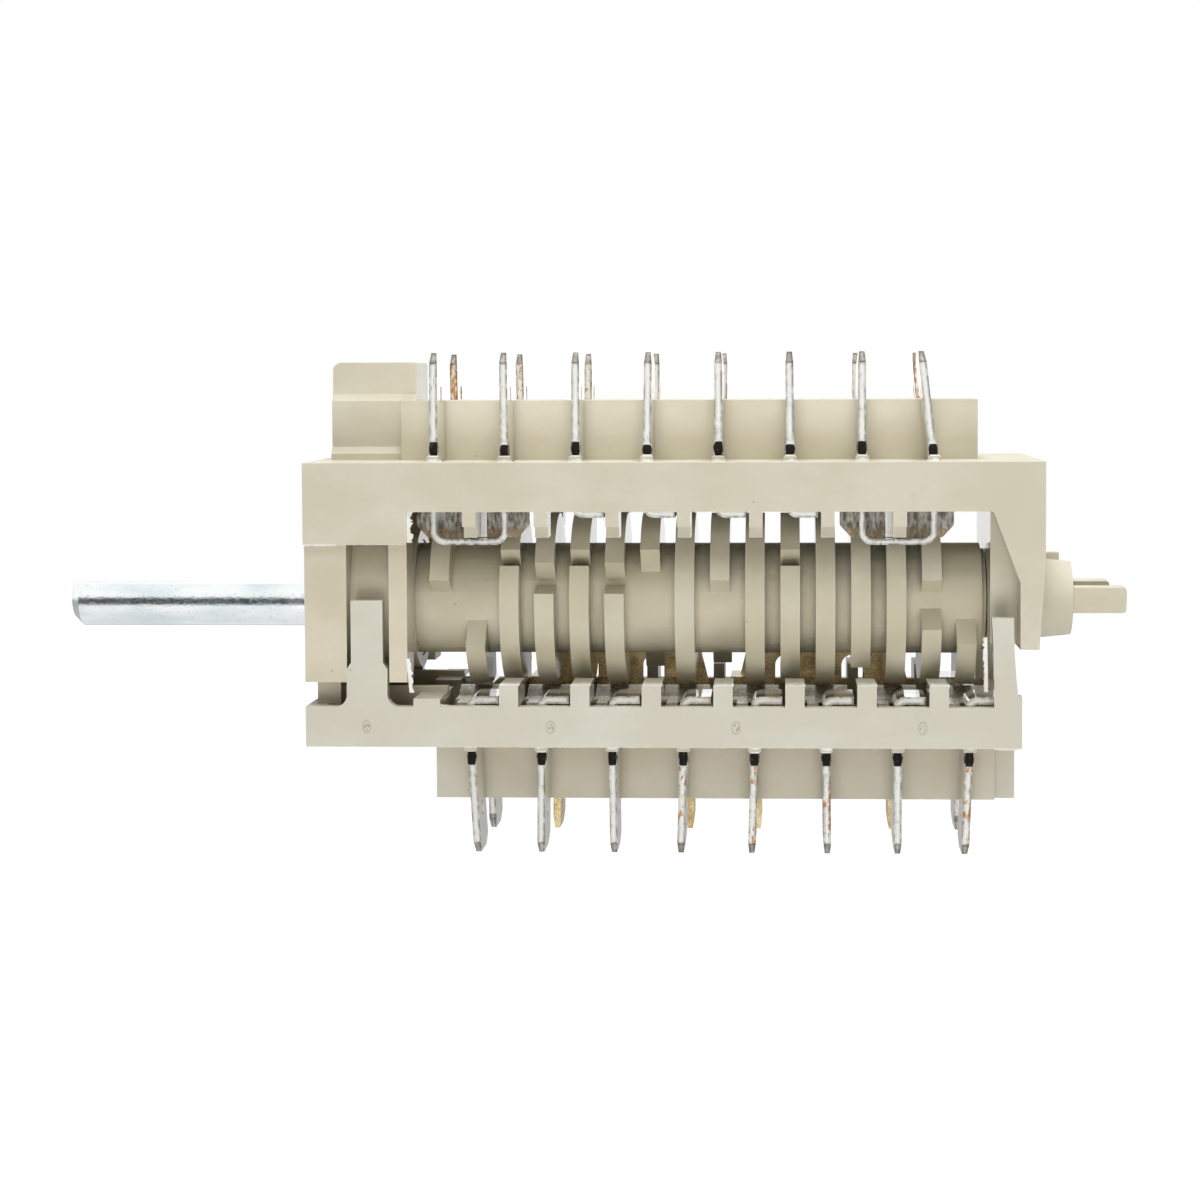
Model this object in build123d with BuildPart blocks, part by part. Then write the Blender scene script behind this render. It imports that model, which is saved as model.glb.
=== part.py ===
from build123d import *

import os
from math import cos, radians, sin, tan

# Rotary cam selector switch for an oven, in millimetres.
# X runs along the shaft towards the rear, Y to the back and Z up.
# The origin is on the shaft axis, in the plane of the mounting face.

os.makedirs("parts", exist_ok=True)

# Clearances
running_gap = 0.06
socket_gap = 0.03
slot_gap = 0.1
contact_gap = 0.1
cam_gap = 0.25
detent_gap = 0.12
seat_gap = 0.1
wall_gap = 0.4
barrier_gap = 0.3
tooth_gap = 0.3

# How far shapes that become one piece run into each other
merge = 0.1

# Metal shaft
shaft_radius = 3.0
shaft_flat_height = 1.6
shaft_reach = 27.0
shaft_end_chamfer = 0.9
shaft_socket_end = 9.0

# Open frame of two mouldings
frame_length = 75.0
frame_width = 28.0
side_wall = 1.5
deck = 2.0
upper_top = 14.8
upper_wall_bottom = 9.8
lower_bottom = -14.1
lower_wall_top = -10.0
lower_front = 0.15
lower_rear_inset = 2.3
lower_end_wall = 2.0

# Front end of the upper moulding
nose_length = 10.6
nose_bottom = 6.5
nose_wall = 2.0
nose_cross_wall = 1.0
nose_cross_inset = 0.6

# Cam tracks, which fill the length between the two ends of the frame
track_count = 16
first_track_inset = 2.6
last_track_inset = 7.425
cam_width = 2.0
cam_radius = 9.0
drum_radius = 5.82
drum_groove = 0.45
drum_groove_depth = 0.6
drum_end_gap = 0.05

# Rear end of the upper moulding
end_plate_thickness = 2.5
bearing_wall_thickness = 2.7
bearing_wall_inset = 3.0
bearing_wall_step = 0.2
end_plate_bottom = -4.1
end_plate_slant = 0.6
gusset_bottom = 2.6
boss_root_radius = 4.3
boss_end_radius = 3.87
boss_length = 3.85
boss_lug = 1.6

# Raised parts on the deck
barrier_front = 8.95
barrier_rear_inset = 6.2
barrier_top = 21.0
barrier_corner = 0.35
barrier_skin = 1.5
pillar_front = 1.5
pillar_rear = 10.35
pillar_top = 25.0
pillar_front_inset = 1.9
pillar_back_inset = 0.5
pillar_skin = 1.4
pillar_step = 0.7
pillar_front_edge = 0.9
pillar_rear_edge = 0.3

# Raised part under the floor
keel_front = 12.4
keel_bottom = -20.6
keel_end_length = 2.1
keel_end_step = 0.5

# Comb teeth between the contacts
upper_tooth_width = 1.35
upper_tooth_depth = 2.9
upper_tooth_front_bottom = 8.3
lower_tooth_width = 1.95
lower_tooth_top = -7.8
lower_tooth_inset = 1.2
back_tooth_width = 1.2

# Cross wall, ribs and pads in the lower moulding
cross_wall_front = 0.9
cross_wall_end = 3.3
cross_wall_inset = 1.5
rib_inner = 6.8
rib_outer = 8.0
rib_top = -8.6
pad_inner = 3.0
pad_top = -9.2
cheek_length = 0.9
cheek_top = -8.8

# Snap arms of the lower moulding, which hold it to the upper one
arm_thickness = 1.4
arm_foot_height = 1.2
arm_foot_spread = 0.9
arm_root = 0.5
arm_shoulder_low = -6.2
arm_shoulder_high = -5.5
front_arm_top = 0.8
front_arm_step = 0.45
rear_arm_top = -0.9
rear_arm_width = 2.2
rear_arm_gap = 0.2
rear_arm_lean = 0.45
rear_arm_bow = 0.05

# Detent housing at the mounting face
block_inset = 0.8
block_bottom = -7.6
recess_front = 4.3
block_flange = 1.85
recess_radius = 10.7
hub_radius = 7.4
hub_clear = 8.5
collar_radius = 6.12
collar_groove = 0.5
collar_groove_depth = 1.2
cavity_front = 2.5
crown_half_width = 4.5
fixing_spacing = 17.0
fixing_hole_radius = 1.6
fixing_hole_depth = 8.0

# Detent wheel, ball and spring
notch_count = 10
wheel_radius = 5.9
wheel_front = 3.5
wheel_rear = 8.0
wheel_face_radius = 4.5
wheel_face_gap = 0.2
notch_radius = 1.6
notch_depth = 0.35
ball_radius = 1.5
spring_wire = 0.35
spring_turns = 4
spring_length = 2.9
spring_seat = 0.86

# Rear journals and coupling prongs of the camshaft; the prongs' turn is in degrees
rear_journal_radius = 4.0
rear_journal_reach = 0.5
rear_journal_clear = 0.3
tail_radius = 3.2
prong_length = 5.65
prong_height = 2.7
prong_inner = 1.2
prong_outer = 2.75
prong_step = 1.35
prong_turn = 6
prong_rise = 0.2
prong_edge_radius = 0.4

# Flat tabs
tab_thickness = 0.8
tab_width = 6.3
top_tab_tip = 25.9
bottom_tab_tip = 25.25
bottom_back_tab_tip = 25.8
tab_tip_thickness = 0.54
tab_bevel = 1.2
tab_corner = 0.9
tab_hole_radius = 0.8
tab_hole_depth = 4.2
stop_height = 1.5
stop_thickness = 0.96
stop_depth = 0.5
stop_proud = 0.03
stop_gap = 0.05
foot_height = 0.55
foot_width = 1.3
foot_length = 0.9
foot_root = 0.2

# Contact shelves folded from the tabs, and the plates that join tabs
shelf_inner = 9.1
shelf_reach = 2.8
shelf_bend = 0.7
shelf_fold_height = 1.6
high_shelf_inner = 9.9
button_radius = 0.8
button_height = 0.25
button_shift = 1.55
button_inset = 1.75
bridge_bar_inner = 6.34
bridge_depth = 3.1
bridge_thickness = 0.6
bridge_bend = 1.1
bridge_tooth_gap = 0.16
coined_width = 0.36
coined_proud = 0.06
coined_front = 1.2
coined_length = 4.6
plate_thickness = 0.5
plate_inner = 6.9
plate_outer = 10.9
plate_side_inner = 8.2
plate_wide = 2.2
plate_narrow = 1.0
plate_corner = 0.5
clip_width = 1.1
clip_thickness = 0.35
clip_lap = 0.45
low_plate_inner = 6.0
low_plate_shift = 0.65
plate_slot_width = 2.3
plate_slot_end = 7.1

# Contact blades
blade_thickness = 0.3
blade_half_width = 2.4
blade_root_shift = 0.25
blade_tip_inset = 0.65
blade_bump = 2.6
blade_bend = 0.6
leg_slot_half = 0.75
leg_slot_gap = 0.6

# How far each tab of a row leans towards the rear, in degrees; a cropped tab has none
top_front_lean = [0.0, -0.6, 0.0, 0.7, 0.0, -0.4, 0.0, -6.6]
top_back_lean = [-0.8, -1.2, 0.0, 0.5, 0.9, 0.0, -0.9, -5.2]
bottom_front_lean = [3.4, -0.6, 0.6, -1.6, -1.7, 0.6, 0.0, -2.3]
bottom_back_lean = [1.2, 0.0, None, 0.0, 0.9, None, 0.6, 0.0]

# Cam sectors by track, in degrees from the front (0) over the top (90) to the back (180)
cam_sectors = [
    [(16, 128)],
    [(-112, -30)],
    [(38, 150), (-128, 26)],
    [(28, 165), (-140, 7)],
    [(38, 118), (-150, 26)],
    [(28, 140), (-122, 7)],
    [(38, 170), (214, 240)],
    [(-138, 196)],
    [(16, 112), (200, 236)],
    [(-128, 208)],
    [(38, 132), (-118, 26)],
    [(-146, 184)],
    [(-49, 152)],
    [(-134, 200)],
    [(16, 122), (-126, -17)],
    [(-104, -28)],
]
lead_ramp = 13
trail_ramp = 7

# Places along the frame, worked out from the values above
end_plate_front = frame_length - end_plate_thickness
bearing_wall_front = end_plate_front - bearing_wall_thickness
lower_rear = frame_length - lower_rear_inset
keel_rear = lower_rear - keel_end_length
barrier_rear = frame_length - barrier_rear_inset
boss_end = frame_length + boss_length
prong_end = boss_end + prong_length
rear_journal_end = frame_length + rear_journal_reach
cross_wall_rear = nose_length - nose_cross_inset
block_rear = nose_length - seat_gap
recess_rear = block_rear - block_flange
drum_front = nose_length - 3 * seat_gap
drum_rear = bearing_wall_front - drum_end_gap
first_track = nose_length + first_track_inset
track_pitch = (frame_length - last_track_inset - first_track) / (track_count - 1)
terminal_count = track_count // 2
terminal_pitch = 2 * track_pitch
top_tabs = [first_track + terminal_pitch * place for place in range(terminal_count)]
bottom_tabs = [first_track + track_pitch + terminal_pitch * place for place in range(terminal_count)]
upper_tooth_offset = shelf_reach + tooth_gap + upper_tooth_width / 2
lower_tooth_offset = shelf_reach + tooth_gap + lower_tooth_width / 2
rib_rear = bottom_tabs[0] - shelf_reach - seat_gap

# Distances from the axis plane to the front and to the back
half_width = frame_width / 2
inner_half_width = half_width - side_wall
tab_outer = inner_half_width - wall_gap
tab_inner = tab_outer - tab_width
tab_centre = tab_inner + tab_width / 2
barrier_half_width = tab_inner - barrier_gap
pillar_face = barrier_half_width - pillar_front_inset
pillar_back = barrier_half_width - pillar_back_inset
block_half_width = half_width - block_inset
bearing_wall_half_width = inner_half_width - bearing_wall_inset
button_y = tab_centre - button_inset
plate_y = tab_outer - bridge_depth - plate_thickness + merge
low_plate_y = tab_centre + low_plate_shift
blade_root = tab_centre + blade_root_shift
blade_tip = tab_centre - blade_tip_inset
blade_narrow = terminal_pitch - lower_tooth_offset - lower_tooth_width / 2 - tooth_gap
leg_slot_end = tab_inner - leg_slot_gap

# Heights above the axis, which are the same below it
deck_bottom = upper_top - deck
floor_top = lower_bottom + deck
crown_top = deck_bottom - seat_gap
upper_tooth_inner_bottom = bridge_bar_inner + bridge_thickness + bridge_tooth_gap
button_face = shelf_inner + tab_thickness + button_height
blade_height = button_face + contact_gap + blade_thickness / 2
high_blade_height = blade_height + high_shelf_inner - shelf_inner
bump_height = cam_radius + cam_gap + blade_thickness / 2

# Detent parts
wheel_middle = (wheel_front + wheel_rear) / 2
cavity_radius = collar_radius + running_gap
ball_height = wheel_radius + detent_gap + ball_radius
spring_radius = ball_radius - spring_wire
spring_base = ball_height + ball_radius * spring_seat
spring_bore_top = spring_base + spring_length + spring_wire


# Adds or cuts a straight-sided block in the piece being built
def block(x_low, x_high, y_low, y_high, z_low, z_high, mode=Mode.ADD):
    with BuildSketch(Plane.XY.offset(z_low)) as base:
        with Locations(((x_low + x_high) / 2, (y_low + y_high) / 2)):
            Rectangle(x_high - x_low, y_high - y_low)
    extrude(base.sketch, amount=z_high - z_low, mode=mode)


# The same block at the front and, mirrored, at the back
def block_pair(x_low, x_high, y_near, y_far, z_low, z_high, mode=Mode.ADD):
    block(x_low, x_high, -y_far, -y_near, z_low, z_high, mode)
    block(x_low, x_high, y_near, y_far, z_low, z_high, mode)


# A round bar or bore along X
def round_bar(radius, x_low, x_high, mode=Mode.ADD):
    with BuildSketch(Plane.YZ.offset(x_low)) as circle:
        Circle(radius)
    extrude(circle.sketch, amount=x_high - x_low, mode=mode)


# A closed outline of straight lines on a plane, drawn out to both sides
def outline_plate(plane, points, half_depth, mode=Mode.ADD):
    with BuildSketch(plane) as outline:
        with BuildLine():
            Polyline(*points, close=True)
        make_face()
    extrude(outline.sketch, amount=half_depth, both=True, mode=mode)


# A folded strip: its centre line on a plane, its thickness, and half its width
def folded_strip(plane, points, bend, thickness, half_depth):
    with BuildSketch(plane) as strip:
        with BuildLine():
            FilletPolyline(*points, radius=bend)
        trace(line_width=thickness)
    extrude(strip.sketch, amount=half_depth, both=True)


# Slots for the tabs, and the small raised feet at their outer ends
def tab_openings(first_x, z_low, z_high, foot_low, foot_high):
    middle_x = first_x + terminal_pitch * (terminal_count - 1) / 2
    foot_y = tab_outer + foot_length / 2 - foot_root
    with BuildSketch(Plane.XY.offset(foot_low)) as feet:
        with Locations((middle_x, 0)):
            with GridLocations(terminal_pitch, 2 * foot_y, terminal_count, 2):
                Rectangle(foot_width, foot_length)
    extrude(feet.sketch, amount=foot_high - foot_low)
    with BuildSketch(Plane.XY.offset(z_low)) as slots:
        with Locations((middle_x, 0)):
            with GridLocations(terminal_pitch, 2 * tab_centre, terminal_count, 2):
                Rectangle(tab_thickness + 2 * slot_gap, tab_width + 2 * slot_gap)
    extrude(slots.sketch, amount=z_high - z_low, mode=Mode.SUBTRACT)


# A row of comb teeth between two distances from the axis plane, on one side of it
def comb(middle_x, width, y_near, y_far, z_low, z_high, side):
    with BuildSketch(Plane.XY.offset(z_low)) as teeth:
        with Locations((middle_x, side * (y_near + y_far) / 2)):
            with GridLocations(terminal_pitch, 1, terminal_count - 1, 1):
                Rectangle(width, y_far - y_near)
    extrude(teeth.sketch, amount=z_high - z_low)


# Upper housing: the side profile first, then the hollow between the side walls
with BuildPart() as upper_housing:
    with BuildSketch(Plane.XZ) as side_profile:
        with BuildLine():
            Polyline(
                (0, nose_bottom),
                (nose_length, nose_bottom),
                (nose_length, upper_wall_bottom),
                (bearing_wall_front, upper_wall_bottom),
                (end_plate_front, gusset_bottom),
                (end_plate_front, end_plate_bottom),
                (frame_length - end_plate_slant, end_plate_bottom),
                (frame_length, upper_wall_bottom / 2),
                (frame_length, upper_top),
                (0, upper_top),
                close=True,
            )
        make_face()
    extrude(amount=half_width, both=True)
    block(nose_wall, cross_wall_rear - nose_cross_wall, -inner_half_width, inner_half_width,
          nose_bottom, deck_bottom, Mode.SUBTRACT)
    block(cross_wall_rear, end_plate_front, -inner_half_width, inner_half_width,
          end_plate_bottom, deck_bottom, Mode.SUBTRACT)
    block(cross_wall_rear - nose_cross_wall, cross_wall_rear, -hub_clear, hub_clear,
          nose_bottom, upper_wall_bottom, Mode.SUBTRACT)

    # Bearing wall inside the rear end, and the conical boss outside it
    block(bearing_wall_front, end_plate_front, -bearing_wall_half_width, bearing_wall_half_width,
          end_plate_bottom + bearing_wall_step, deck_bottom)
    with BuildSketch(Plane.XZ) as boss_profile:
        with BuildLine():
            Polyline(
                (frame_length - end_plate_slant, 0),
                (boss_end, 0),
                (boss_end, boss_end_radius),
                (frame_length - end_plate_slant, boss_root_radius),
                close=True,
            )
        make_face()
    revolve(axis=Axis.X)
    lug_low = boss_end_radius - boss_lug / 2
    block(rear_journal_end + boss_lug / 2, rear_journal_end + 3 * boss_lug / 2,
          boss_lug, 2 * boss_lug, lug_low, lug_low + boss_lug)

    # Comb teeth under the side walls, deeper inside than in the wall itself
    tooth_middle = (top_tabs[0] + top_tabs[-1]) / 2
    for side in (-1, 1):
        middle_x = tooth_middle - side * (upper_tooth_offset - track_pitch)
        comb(middle_x, upper_tooth_width, inner_half_width, half_width,
             upper_tooth_front_bottom, deck_bottom, side)
        comb(middle_x, upper_tooth_width, inner_half_width - upper_tooth_depth, inner_half_width,
             upper_tooth_inner_bottom, deck_bottom, side)

    # Hollow barrier between the two rows of tabs
    block(barrier_front, barrier_rear, -barrier_half_width, barrier_half_width,
          upper_top, barrier_top)
    barrier_edge = upper_housing.edges().filter_by(Axis.Y).filter_by_position(
        Axis.Z, barrier_top - merge, barrier_top + merge).sort_by(Axis.X)[0]
    fillet(barrier_edge, radius=barrier_corner)
    block(nose_length + barrier_skin, barrier_rear - barrier_skin,
          -barrier_half_width + barrier_skin, barrier_half_width - barrier_skin,
          deck_bottom, barrier_top - barrier_skin, Mode.SUBTRACT)

    # Stepped pillar near the mounting face
    with BuildSketch(Plane.YZ.offset(pillar_front)):
        with BuildLine():
            Polyline(
                (pillar_back, upper_top),
                (pillar_back, pillar_top),
                (-pillar_face, pillar_top),
                (-pillar_face, barrier_top + pillar_step),
                (-pillar_face - pillar_step, barrier_top),
                (-pillar_face - pillar_step, upper_top + 2 * pillar_step),
                (-pillar_face - 2 * pillar_step, upper_top + pillar_step),
                (-pillar_face - 2 * pillar_step, upper_top),
                close=True,
            )
        make_face()
    extrude(amount=pillar_rear - pillar_front)
    pillar_edges = upper_housing.edges().filter_by(Axis.Y).filter_by_position(
        Axis.Z, pillar_top - merge, pillar_top + merge).sort_by(Axis.X)
    fillet(pillar_edges[0], radius=pillar_front_edge)
    fillet(pillar_edges[-1], radius=pillar_rear_edge)
    block(pillar_front + pillar_skin, barrier_front - merge, -pillar_face + pillar_skin,
          pillar_back - pillar_skin, deck_bottom, pillar_top - pillar_skin, Mode.SUBTRACT)

    tab_openings(top_tabs[0], deck_bottom, upper_top + foot_height, upper_top, upper_top + foot_height)

    # Bores for the rear journal and the tail
    round_bar(rear_journal_radius + running_gap, bearing_wall_front,
              rear_journal_end + rear_journal_clear, Mode.SUBTRACT)
    round_bar(tail_radius + running_gap, rear_journal_end, boss_end, Mode.SUBTRACT)

# Lower housing: floor, side walls, teeth, snap arms and keel
with BuildPart() as lower_housing:
    block(lower_front, lower_rear, -half_width, half_width, lower_bottom, lower_wall_top)
    block(lower_front + lower_end_wall, lower_rear - lower_end_wall,
          -inner_half_width, inner_half_width,
          floor_top, lower_wall_top, Mode.SUBTRACT)

    # Cross wall that carries the detent housing, and a rib along each side
    cross_wall_half = inner_half_width - cross_wall_inset
    block(cross_wall_front, cross_wall_end, -cross_wall_half, cross_wall_half,
          floor_top, block_bottom - seat_gap)
    block_pair(cross_wall_end, rib_rear, rib_inner, rib_outer, floor_top, rib_top)
    block_pair(nose_length + nose_cross_inset, rib_rear, pad_inner, half_width, floor_top, pad_top)
    block_pair(lower_rear - cheek_length, lower_rear, inner_half_width, half_width,
               lower_wall_top, cheek_top)

    # Comb teeth, wide at the front and narrow at the back
    tooth_middle = (bottom_tabs[0] + bottom_tabs[-1]) / 2
    tooth_inner_end = tab_inner + lower_tooth_inset
    for side, width in ((-1, lower_tooth_width), (1, back_tooth_width)):
        comb(tooth_middle - side * (lower_tooth_offset - track_pitch), width,
             tooth_inner_end, half_width, floor_top, lower_tooth_top, side)

    # Snap arms: a stepped one at the front end and a bowed one at the rear end
    arm_base = lower_wall_top - arm_root
    foot_top = lower_wall_top + arm_foot_height
    foot_bend = lower_wall_top + arm_foot_height / 3
    front_low = recess_front + seat_gap
    front_high = recess_rear - seat_gap
    rear_high = end_plate_front - rear_arm_gap
    rear_low = rear_high - rear_arm_width - rear_arm_gap
    tip_high = rear_high - rear_arm_lean
    for side in (-1, 1):
        arm_plane = Plane.XZ.offset(-side * (half_width - arm_thickness / 2))
        with BuildSketch(arm_plane) as front_arm:
            with BuildLine():
                Polyline((front_low - arm_foot_spread, arm_base),
                         (front_low - arm_foot_spread, lower_wall_top))
                ThreePointArc((front_low - arm_foot_spread, lower_wall_top),
                              (front_low - arm_foot_spread / 3, foot_bend), (front_low, foot_top))
                Polyline((front_low, foot_top), (front_low, arm_shoulder_low),
                         (front_low + front_arm_step, arm_shoulder_high),
                         (front_low + front_arm_step, front_arm_top),
                         (front_high - front_arm_step, front_arm_top),
                         (front_high - front_arm_step, arm_shoulder_high),
                         (front_high, arm_shoulder_low), (front_high, foot_top))
                ThreePointArc((front_high, foot_top), (front_high + arm_foot_spread / 3, foot_bend),
                              (front_high + arm_foot_spread, lower_wall_top))
                Polyline((front_high + arm_foot_spread, lower_wall_top),
                         (front_high + arm_foot_spread, arm_base),
                         (front_low - arm_foot_spread, arm_base))
            make_face()
        extrude(front_arm.sketch, amount=arm_thickness / 2, both=True)
        with BuildSketch(arm_plane) as rear_arm:
            with BuildLine():
                Polyline((tip_high, rear_arm_top), (tip_high - rear_arm_width, rear_arm_top))
                ThreePointArc((tip_high - rear_arm_width, rear_arm_top),
                              (rear_low - rear_arm_bow, arm_shoulder_high), (rear_low, lower_wall_top))
                Polyline((rear_low, lower_wall_top), (rear_low, arm_base), (rear_high, arm_base),
                         (rear_high, foot_top))
                ThreePointArc((rear_high, foot_top),
                              (rear_high - rear_arm_lean + 3 * rear_arm_bow, arm_shoulder_high),
                              (tip_high, rear_arm_top))
            make_face()
        extrude(rear_arm.sketch, amount=arm_thickness / 2, both=True)

    # Hollow keel between the two rows of tabs
    block(keel_front, keel_rear, -barrier_half_width, barrier_half_width, keel_bottom, lower_bottom)
    block(keel_rear, lower_rear, -barrier_half_width + keel_end_step,
          barrier_half_width - keel_end_step, keel_bottom + seat_gap, lower_bottom)
    block(keel_front + barrier_skin, keel_rear - barrier_skin, -barrier_half_width + barrier_skin,
          barrier_half_width - barrier_skin, keel_bottom + barrier_skin, floor_top, Mode.SUBTRACT)

    tab_openings(bottom_tabs[0], lower_bottom - foot_height, floor_top,
                 lower_bottom - foot_height, lower_bottom)

# Detent housing: a block with a round cage in its side recesses
with BuildPart() as detent_housing:
    block(0, block_rear, -block_half_width, block_half_width, block_bottom, nose_bottom)
    with BuildSketch(Plane.YZ.offset(recess_front)):
        Rectangle(4 * half_width, 4 * half_width)
        Circle(recess_radius, mode=Mode.SUBTRACT)
    extrude(amount=recess_rear - recess_front, mode=Mode.SUBTRACT)
    block(recess_rear, block_rear, -hub_clear, hub_clear, block_bottom, nose_bottom, Mode.SUBTRACT)
    round_bar(hub_radius, recess_front, block_rear - seat_gap)
    block(nose_wall + seat_gap, recess_rear, -crown_half_width, crown_half_width,
          nose_bottom - deck, crown_top)
    round_bar(cavity_radius, cavity_front, block_rear, Mode.SUBTRACT)
    round_bar(shaft_radius + running_gap, 0, cavity_front, Mode.SUBTRACT)

    # Two fixing holes in line with the shaft
    with BuildSketch(Plane.YZ):
        with GridLocations(fixing_spacing, 1, 2, 1):
            Circle(fixing_hole_radius)
    extrude(amount=fixing_hole_depth, mode=Mode.SUBTRACT)

    # Blind bore for the ball and its spring
    with BuildSketch(Plane.XY.offset(wheel_face_radius)):
        with Locations((wheel_middle, 0)):
            Circle(ball_radius + running_gap)
    extrude(amount=spring_bore_top - wheel_face_radius, mode=Mode.SUBTRACT)


# One cam sector with a ramp at each end, drawn out along the track
def cam_sector(track_x, start, end):
    def rim(angle, radius):
        return (-radius * cos(radians(angle)), radius * sin(radians(angle)))

    foot = drum_radius - 4 * merge
    middle = (start + end) / 2
    with BuildSketch(Plane.YZ.offset(track_x)) as sector:
        with BuildLine():
            Line(rim(start - trail_ramp, foot), rim(start, cam_radius))
            if end - start > 180:
                quarter = (end - start) / 4
                ThreePointArc(rim(start, cam_radius), rim(start + quarter, cam_radius),
                              rim(middle, cam_radius))
                ThreePointArc(rim(middle, cam_radius), rim(end - quarter, cam_radius),
                              rim(end, cam_radius))
            else:
                ThreePointArc(rim(start, cam_radius), rim(middle, cam_radius),
                              rim(end, cam_radius))
            Line(rim(end, cam_radius), rim(end + lead_ramp, foot))
            ThreePointArc(rim(end + lead_ramp, foot), rim(middle, foot),
                          rim(start - trail_ramp, foot))
        make_face()
    extrude(sector.sketch, amount=cam_width / 2, both=True)


# Camshaft: turned drum profile, cams, detent wheel and coupling prongs
with BuildPart() as camshaft:
    with BuildSketch(Plane.XZ):
        with BuildLine():
            Polyline(
                (cavity_front + wheel_face_gap, 0),
                (cavity_front + wheel_face_gap, wheel_face_radius),
                (wheel_front, wheel_face_radius),
                (wheel_front, wheel_radius),
                (wheel_rear, wheel_radius),
                (wheel_rear, collar_radius - collar_groove_depth),
                (wheel_rear + collar_groove, collar_radius - collar_groove_depth),
                (wheel_rear + collar_groove, collar_radius),
                (drum_front, collar_radius),
                (drum_front, drum_radius),
                (drum_rear - drum_groove, drum_radius),
                (drum_rear - drum_groove, drum_radius - drum_groove_depth),
                (bearing_wall_front - running_gap, drum_radius - drum_groove_depth),
                (bearing_wall_front - running_gap, rear_journal_radius),
                (rear_journal_end, rear_journal_radius),
                (rear_journal_end, tail_radius),
                (boss_end + merge, tail_radius),
                (boss_end + merge, 0),
                close=True,
            )
        make_face()
    revolve(axis=Axis.X)

    # Shallow notches round the detent wheel
    notch_circle = wheel_radius - notch_depth + notch_radius
    with BuildSketch(Plane.YZ.offset(wheel_front)):
        with PolarLocations(notch_circle, notch_count, start_angle=90):
            Circle(notch_radius)
    extrude(amount=wheel_rear - wheel_front, mode=Mode.SUBTRACT)

    for track, sectors in enumerate(cam_sectors):
        for start, end in sectors:
            cam_sector(first_track + track * track_pitch, start, end)

    # Two coupling prongs side by side, turned a little from the level
    prong_middle = (prong_inner + prong_outer) / 2
    for side, end in ((-1, prong_end), (1, prong_end - prong_step)):
        prong_y = side * prong_middle * cos(radians(prong_turn))
        prong_z = side * prong_middle * sin(radians(prong_turn)) + prong_rise
        with BuildSketch(Plane.YZ.offset(boss_end)):
            with Locations((prong_y, prong_z)):
                Rectangle(prong_outer - prong_inner, prong_height, rotation=prong_turn)
        extrude(amount=end - boss_end)
    prong_tips = camshaft.faces().filter_by(Axis.X).filter_by_position(
        Axis.X, prong_end - prong_step - merge, prong_end + merge)
    short_edges = prong_tips.edges().filter_by(lambda edge: edge.length < prong_height - merge)
    fillet(short_edges, radius=prong_edge_radius)

    # D-shaped socket for the metal shaft
    with BuildSketch(Plane.YZ.offset(cavity_front)) as socket:
        Circle(shaft_radius + socket_gap)
        with Locations((0, shaft_flat_height + socket_gap + shaft_radius)):
            Rectangle(3 * shaft_radius, 2 * shaft_radius, mode=Mode.SUBTRACT)
    extrude(amount=shaft_socket_end - cavity_front, mode=Mode.SUBTRACT)

# Metal shaft with a flat along its whole length
with BuildPart() as selector_shaft:
    round_bar(shaft_radius, -shaft_reach, shaft_socket_end - seat_gap)
    chamfer(selector_shaft.faces().sort_by(Axis.X)[0].edges(), length=shaft_end_chamfer)
    block(-2 * shaft_reach, 2 * shaft_reach, -2 * shaft_radius, 2 * shaft_radius,
          shaft_flat_height, 2 * shaft_radius, Mode.SUBTRACT)

# Detent ball and its spring
with BuildPart() as detent_ball:
    with Locations((wheel_middle, 0, ball_height)):
        Sphere(ball_radius)

with BuildPart() as detent_spring:
    with BuildLine(Plane.XY.offset(spring_base).move(Location((wheel_middle, 0, 0)))) as coil:
        Helix(spring_length / spring_turns, spring_length, spring_radius)
    with BuildSketch(coil.line ^ 0):
        RegularPolygon(spring_wire / 2, 6)
    sweep()

upper_housing.part.label = "upper_housing"
lower_housing.part.label = "lower_housing"
detent_housing.part.label = "detent_housing"
camshaft.part.label = "camshaft"
selector_shaft.part.label = "selector_shaft"
detent_ball.part.label = "detent_ball"
detent_spring.part.label = "detent_spring"
export_step(upper_housing.part, "parts/upper_housing.step")
export_step(lower_housing.part, "parts/lower_housing.step")
export_step(detent_housing.part, "parts/detent_housing.step")
export_step(camshaft.part, "parts/camshaft.step")
export_step(selector_shaft.part, "parts/selector_shaft.step")
export_step(detent_ball.part, "parts/detent_ball.step")
export_step(detent_spring.part, "parts/detent_spring.step")


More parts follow.
